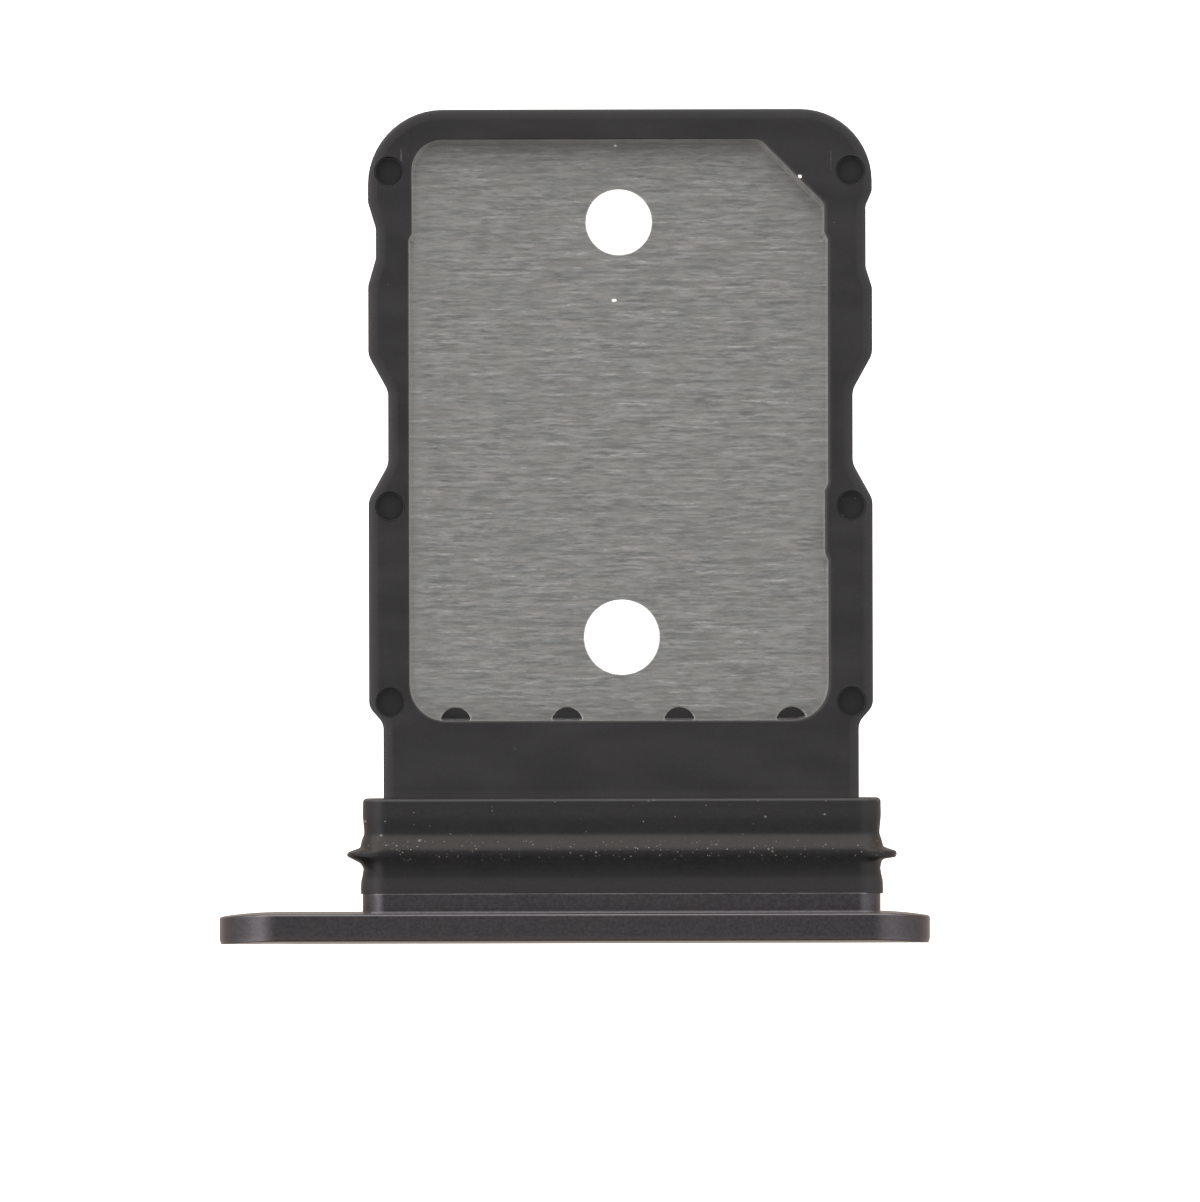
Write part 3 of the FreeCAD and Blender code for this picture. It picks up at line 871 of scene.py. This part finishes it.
def plastic():
    k = Nodes("moulded_plastic")
    p = k.mm()
    fine = k.noise(p, 22.0, 2.0, 0.6)
    cloud = k.noise(p, 0.55, 3.0, 0.5)
    flow = k.noise(k.mm((0.5, 1.6, 1.0)), 1.0, 3.0, 0.5)
    c = k.mix(k.ramp(cloud, 0.3, 0.7), (0.0106, 0.0104, 0.0122), (0.0136, 0.0133, 0.0152))
    c = k.mix(k.ramp(fine, 0.35, 0.75, 0.0, 0.35), c, (0.020, 0.018, 0.018))
    up = k.add("ShaderNodeSeparateXYZ")
    k.link(k.add("ShaderNodeNewGeometry").outputs["Normal"], up.inputs[0])
    steep = k.math("ABSOLUTE", up.outputs[2])
    x, y, z = k.xyz()
    u = k.math("SUBTRACT", x, TRAY_X)
    v = k.math("SUBTRACT", y, FRONT)
    # painted reflection: the pocket's walls are painted pale
    painted_wall_reflection = k.math("MULTIPLY", k.ramp(k.math("ABSOLUTE", u), 4.565, 4.575, 1.0, 0.0), k.ramp(v, 17.30, 17.36, 1.0, 0.0))
    painted_wall_reflection = k.math("MULTIPLY", painted_wall_reflection, k.math("MULTIPLY", k.ramp(v, 4.60, 4.66), k.ramp(z, PLATE_TOP - 0.03, PLATE_TOP - 0.01)))
    painted_wall_reflection = k.math("MULTIPLY", painted_wall_reflection, k.ramp(steep, 0.55, 0.80, 1.0, 0.0))
    wall_reflection_tone = k.ramp(k.noise(k.mm((2.2, 2.2, 2.2)), 1.0, 3.0, 0.6), 0.3, 0.7)
    c = k.mix(painted_wall_reflection, c, k.mix(wall_reflection_tone, (0.100, 0.098, 0.095), (0.140, 0.137, 0.132)))
    # painted light: the neck is made lighter next to the gasket, where the gasket would shade it
    near = k.ramp(v, 3.12, 3.34, 0.8, 0.0)
    c = k.mix(near, c, (0.030, 0.028, 0.028))
    fuzz = k.noise(k.mm((14.0, 14.0, 1.0)), 1.0, 2.0, 0.6)
    mark = k.spot(x, y, 4.84, 7.45, 0.042, 0.038, fuzz)
    c = k.mix(mark, c, (0.80, 0.80, 0.80))
    faint = None
    for cx, cy, rx, ry, amount in ((-3.66, 7.90, 0.02, 0.14, 0.11), (5.50, 7.82, 0.02, 0.22, 0.05)):
        one = k.math("MULTIPLY", k.spot(x, y, cx, cy, rx, ry, fuzz), 0.45 * amount)
        faint = one if faint is None else k.math("ADD", faint, one)
    c = k.mix(faint, c, (0.80, 0.79, 0.77))
    dirt = k.math("MULTIPLY", k.specks(11.0, 0.020, 0.45, (0.6, 0.2, 0.0)), k.spot(x, y, 5.82, 0.47, 0.36, 0.30))
    c = k.mix(k.math("MULTIPLY", dirt, 0.30), c, (0.34, 0.29, 0.24))
    grit = k.math("MULTIPLY", k.specks(6.0, 0.012, 0.05, (2.6, 1.9, 0.0)), 0.16)
    c = k.mix(grit, c, (0.60, 0.59, 0.57))
    k.link(c, k.bsdf.inputs["Base Color"])
    k.bsdf.inputs["IOR"].default_value = 1.46
    wall = k.ramp(steep, 0.15, 0.35, 0.45, 1.0)
    k.link(k.math("MULTIPLY", wall, k.ramp(flow, 0.3, 0.7, 0.33, 0.42)), k.bsdf.inputs["Roughness"])
    h = k.math("ADD", k.math("MULTIPLY", fine, 0.5), k.math("MULTIPLY", flow, 0.5))
    k.link(k.bump(h, 0.15, 0.000008), k.bsdf.inputs["Normal"])
    return k.m


def silicone():
    k = Nodes("silicone")
    x, y, z = k.xyz()
    v = k.math("SUBTRACT", y, FRONT)
    p = k.mm()
    fine = k.noise(p, 14.0, 3.0, 0.6)
    cloud = k.noise(p, 1.1, 3.0, 0.55)
    c = k.mix(k.ramp(cloud, 0.3, 0.7), (0.0045, 0.0043, 0.0048), (0.0070, 0.0067, 0.0072))
    # painted light: the gasket is lighter towards the stem, clear of the lip's shade
    c = k.mix(k.ramp(v, 1.50, 1.36), c, (0.0150, 0.0143, 0.0155))
    # painted light: the gasket's far flat is made lighter than the part nearer the lip
    c = k.mix(k.ramp(v, 2.56, 2.76), c, (0.0100, 0.0096, 0.0102))
    # painted highlight: a pale line along the gasket's far edge
    c = k.mix(k.ramp(v, 3.040, 3.065), c, (0.0300, 0.0300, 0.0325))
    band = k.math("MULTIPLY", k.ramp(v, 1.99, 2.10), k.ramp(v, 2.26, 2.34, 1.0, 0.0))
    c = k.mix(k.math("MULTIPLY", band, k.ramp(cloud, 0.2, 0.8, 0.6, 1.0)), c, (0.0095, 0.0068, 0.0050))
    crest = k.math("MULTIPLY", k.ramp(v, 1.74, 1.88), k.ramp(v, 2.10, 2.28, 1.0, 0.0))
    where = k.ramp(k.noise(k.mm((0.9, 0.3, 0.3), (4.0, 0.0, 0.0)), 1.0, 2.0, 0.6), 0.34, 0.58, 0.25, 1.0)
    dust = k.math("MULTIPLY", k.specks(13.0, 0.019, 0.60), k.math("MULTIPLY", crest, where))
    dust = k.math("MAXIMUM", dust, k.math("MULTIPLY", k.specks(9.0, 0.017, 0.14, (1.7, 0.4, 0.9)), k.ramp(v, 1.70, 1.86)))
    dust = k.math("MULTIPLY", dust, k.ramp(fine, 0.35, 0.65, 0.35, 1.0))
    few = k.math("MULTIPLY", k.specks(5.1, 0.015, 0.04, (5.1, 2.2, 0.0)), k.ramp(v, 1.20, 1.40, 0.0, 0.5))
    fuzz = k.noise(k.mm((14.0, 14.0, 1.0)), 1.0, 2.0, 0.6)
    for cx, cy, rx, ry in ((-3.30, 2.22, 0.036, 0.032), (-4.46, 2.63, 0.026, 0.024), (-4.03, 2.63, 0.024, 0.022),
                           (-4.12, 2.33, 0.03, 0.03), (4.07, 2.71, 0.03, 0.02), (5.33, 2.76, 0.03, 0.02)):
        few = k.math("MAXIMUM", few, k.spot(x, v, cx, cy, rx, ry, fuzz))
    dust = k.math("MAXIMUM", dust, k.math("MULTIPLY", few, 0.65))
    c = k.mix(dust, c, (0.175, 0.170, 0.155))
    k.link(c, k.bsdf.inputs["Base Color"])
    k.bsdf.inputs["IOR"].default_value = 1.395
    k.link(k.ramp(fine, 0.3, 0.7, 0.38, 0.48), k.bsdf.inputs["Roughness"])
    k.link(k.bump(fine, 0.15, 0.000008), k.bsdf.inputs["Normal"])
    return k.m


def steel():
    k = Nodes("stainless_sheet")
    x, y, z = k.xyz()
    s1 = k.noise(k.mm((2.3, 15.0, 1.0)), 1.0, 3.0, 0.58)
    s2 = k.noise(k.mm((0.70, 12.0, 1.0), (3.7, 1.3, 0.0), 0.004), 1.0, 4.0, 0.62)
    s3 = k.noise(k.mm((5.0, 24.0, 1.0), (1.1, 8.3, 0.0)), 1.0, 2.0, 0.60)
    s4 = k.noise(k.mm((1.2, 4.5, 1.0), (9.1, 4.3, 0.0)), 1.0, 5.0, 0.65)
    s5 = k.noise(k.mm((1.1, 7.0, 1.0), (6.6, 2.9, 0.0), -0.003), 1.0, 3.0, 0.55)
    tone = k.math("ADD", k.math("MULTIPLY", s1, 0.34), k.math("ADD", k.math("MULTIPLY", s2, 0.28), k.math("MULTIPLY", s3, 0.19)))
    tone = k.math("ADD", tone, k.math("MULTIPLY", s5, 0.19))
    c = k.mix(k.ramp(tone, 0.400, 0.600), (0.308, 0.318, 0.314), (0.532, 0.534, 0.526))
    s6 = k.noise(k.mm((0.9, 1.7, 1.0), (2.2, 7.9, 0.0)), 1.0, 3.0, 0.55)
    c = k.mix(k.ramp(s6, 0.40, 0.60, 0.0, 0.30), c, (0.395, 0.418, 0.402))
    lines = k.math("MULTIPLY", k.ramp(s2, 0.585, 0.66), k.ramp(s3, 0.45, 0.60))
    c = k.mix(k.math("MULTIPLY", lines, 0.6), c, (0.78, 0.78, 0.77))
    c = k.mix(k.ramp(s4, 0.42, 0.58, 0.0, 0.45), c, (0.450, 0.437, 0.412))
    c = k.mix(k.ramp(s4, 0.44, 0.36, 0.0, 0.35), c, (0.402, 0.425, 0.422))
    fuzz = k.noise(k.mm((14.0, 14.0, 1.0)), 1.0, 2.0, 0.6)
    dust = k.math("MULTIPLY", k.specks(3.0, 0.016, 0.03, (0.3, 0.7, 0.0)), 0.6)
    for cx, cy, rx, ry in ((0.88, 4.84, 0.056, 0.036), (0.905, 8.15, 0.036, 0.028), (-3.46, 6.76, 0.028, 0.08)):
        dust = k.math("MAXIMUM", dust, k.spot(x, y, cx, cy, rx, ry, fuzz))
    c = k.mix(dust, c, (0.80, 0.80, 0.79))
    patch = k.spot(x, y, 5.86, -0.46, 0.30, 0.15, fuzz)
    c = k.mix(k.math("MULTIPLY", patch, 0.3), c, (0.36, 0.35, 0.34))
    # painted reflection: the steel is paler towards the side walls
    c = k.mix(k.ramp(k.math("ABSOLUTE", k.math("SUBTRACT", x, TRAY_X)), 4.05, 4.42, 0.0, 0.20), c, (0.72, 0.72, 0.71))
    # painted shadow: the steel is darker by the far wall
    c = k.mix(k.ramp(y, FRONT + 16.82, FRONT + 17.02, 0.0, 0.30), c, (0.23, 0.225, 0.215))
    k.link(c, k.bsdf.inputs["Base Color"])
    k.link(k.math("SUBTRACT", 1.0, dust), k.bsdf.inputs["Metallic"])
    k.link(k.ramp(tone, 0.35, 0.65, 0.30, 0.36), k.bsdf.inputs["Roughness"])
    k.bsdf.inputs["Anisotropic"].default_value = 0.7
    # the brushed lines run across the tray, so light spreads along it
    way = k.add("ShaderNodeCombineXYZ")
    k.link(k.ramp(s2, 0.3, 0.7, -0.03, 0.03, False), way.inputs[0])
    way.inputs[1].default_value = 1.0
    k.link(way.outputs[0], k.bsdf.inputs["Tangent"])
    k.link(k.bump(tone, 0.20, 0.000004), k.bsdf.inputs["Normal"])
    return k.m


def floor_paint():
    k = Nodes("pale_floor")
    n = k.noise(k.mm((0.02, 0.02, 0.02)), 1.0, 1.0, 0.5)
    k.link(k.mix(n, (0.58, 0.58, 0.58), (0.62, 0.62, 0.62)), k.bsdf.inputs["Base Color"])
    k.bsdf.inputs["Roughness"].default_value = 0.9
    k.bsdf.inputs["Specular IOR Level"].default_value = 0.0
    k.bsdf.inputs["Emission Color"].default_value = (1.0, 0.985, 0.96, 1.0)
    k.bsdf.inputs["Emission Strength"].default_value = 1.25
    return k.m


# ------------------------------------------------------------------ put together
def place(ob, node, mat):
    ob.data.materials.clear()
    ob.data.materials.append(mat)
    shade(ob)
    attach(ob, "root")
    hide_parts(node)


place(head(), "head", anodised())
place(seal(), "seal", silicone())
place(carrier_frame(), "carrier_frame", plastic())
place(floor_plate(), "floor_plate", steel())

# ------------------------------------------------------------------ floor, light, camera
me = bpy.data.meshes.new("floor")
bm = bmesh.new()
bmesh.ops.create_grid(bm, x_segments=8, y_segments=8, size=0.6)
bm.to_mesh(me)
bm.free()
floor = bpy.data.objects.new("floor", me)
bpy.context.scene.collection.objects.link(floor)
me.materials.append(floor_paint())
floor.visible_glossy = False

world = bpy.data.worlds.new("studio")
bpy.context.scene.world = world
world.use_nodes = True
wt = world.node_tree
bg = wt.nodes["Background"]
bg.inputs["Strength"].default_value = 1.0
aim = wt.nodes.new("ShaderNodeTexCoord")
axes = wt.nodes.new("ShaderNodeSeparateXYZ")
wt.links.new(aim.outputs["Generated"], axes.inputs[0])


def sky_range(socket, lo, hi, a, b):
    n = wt.nodes.new("ShaderNodeMapRange")
    n.interpolation_type = "SMOOTHSTEP"
    for key, value in (("From Min", lo), ("From Max", hi), ("To Min", a), ("To Max", b)):
        n.inputs[key].default_value = value
    wt.links.new(socket, n.inputs["Value"])
    return n.outputs["Result"]


def sky_glow(base, amount, tint):
    n = wt.nodes.new("ShaderNodeVectorMath")
    n.operation = "SCALE"
    n.inputs[0].default_value = tint
    wt.links.new(amount, n.inputs["Scale"])
    if base is None:
        return n.outputs[0]
    m = wt.nodes.new("ShaderNodeVectorMath")
    m.operation = "ADD"
    wt.links.new(base, m.inputs[0])
    wt.links.new(n.outputs[0], m.inputs[1])
    return m.outputs[0]


def sky_times(a, b):
    n = wt.nodes.new("ShaderNodeMath")
    n.operation = "MULTIPLY"
    wt.links.new(a, n.inputs[0])
    wt.links.new(b, n.inputs[1])
    return n.outputs[0]


# dim overhead where the camera is, a broad soft light high at each side, a bright far side, a dim near side,
# and a pale warm table below the horizon
DIM = 0.257
BELOW = ((1.0, 0.86, 0.77), -0.10, 0.04, 0.85, 0.0)
GLOWS = (
    ("X", -0.02, -0.30, 0.32, (1.0, 0.94, 0.91)), ("X", -0.27, -0.54, 1.72, (1.0, 0.955, 0.955)),
    ("X", -0.60, -0.95, -1.30, (1.0, 0.955, 0.955)),
    ("X", 0.10, 0.48, 1.02, (1.0, 0.97, 0.96)), ("X", 0.70, 0.95, -0.35, (1.0, 0.985, 0.985)),
    ("Y", 0.19, 0.60, 1.30, (1.0, 0.975, 0.955)), ("Y", 0.72, 0.95, 0.90, (1.0, 0.975, 0.955)),
    ("Y", -0.08, -0.35, 0.28, (1.0, 0.94, 0.90)), ("Y", -0.40, -0.75, -0.45, (1.0, 0.97, 0.95)),
    ("Y", -0.93, -0.995, 0.50, (0.97, 0.98, 1.04)))
above = sky_range(axes.outputs["Z"], -0.10, 0.04, 0.0, 1.0)
glow = sky_glow(None, sky_range(axes.outputs["Z"], *BELOW[1:]), BELOW[0])
glow = sky_glow(glow, above, (DIM, DIM * 0.985, DIM * 0.975))
for axis, lo, hi, amount, tint in GLOWS:
    glow = sky_glow(glow, sky_times(sky_range(axes.outputs[axis], lo, hi, 0.0, amount), above), tint)
wt.links.new(glow, bg.inputs["Color"])

cam_data = bpy.data.cameras.new("camera")
cam = bpy.data.objects.new("camera", cam_data)
bpy.context.scene.collection.objects.link(cam)
bpy.context.scene.camera = cam
cam_data.sensor_fit = "HORIZONTAL"
cam_data.sensor_width = 36.0
HIGH = 0.30
cam_data.lens = 36.0 * (HIGH - TOP_Z * MM) / (1200 / 46.9 * MM)
cam_data.clip_start = 0.02
cam_data.clip_end = 5.0
cam.location = (((600 - 575.6 + 1.6) / 46.8) * MM, (FRONT + (943.2 - 601) / 46.8) * MM, HIGH)
cam.rotation_euler = (0, 0, math.radians(-0.14))
bpy.context.scene.view_settings.view_transform = "Standard"
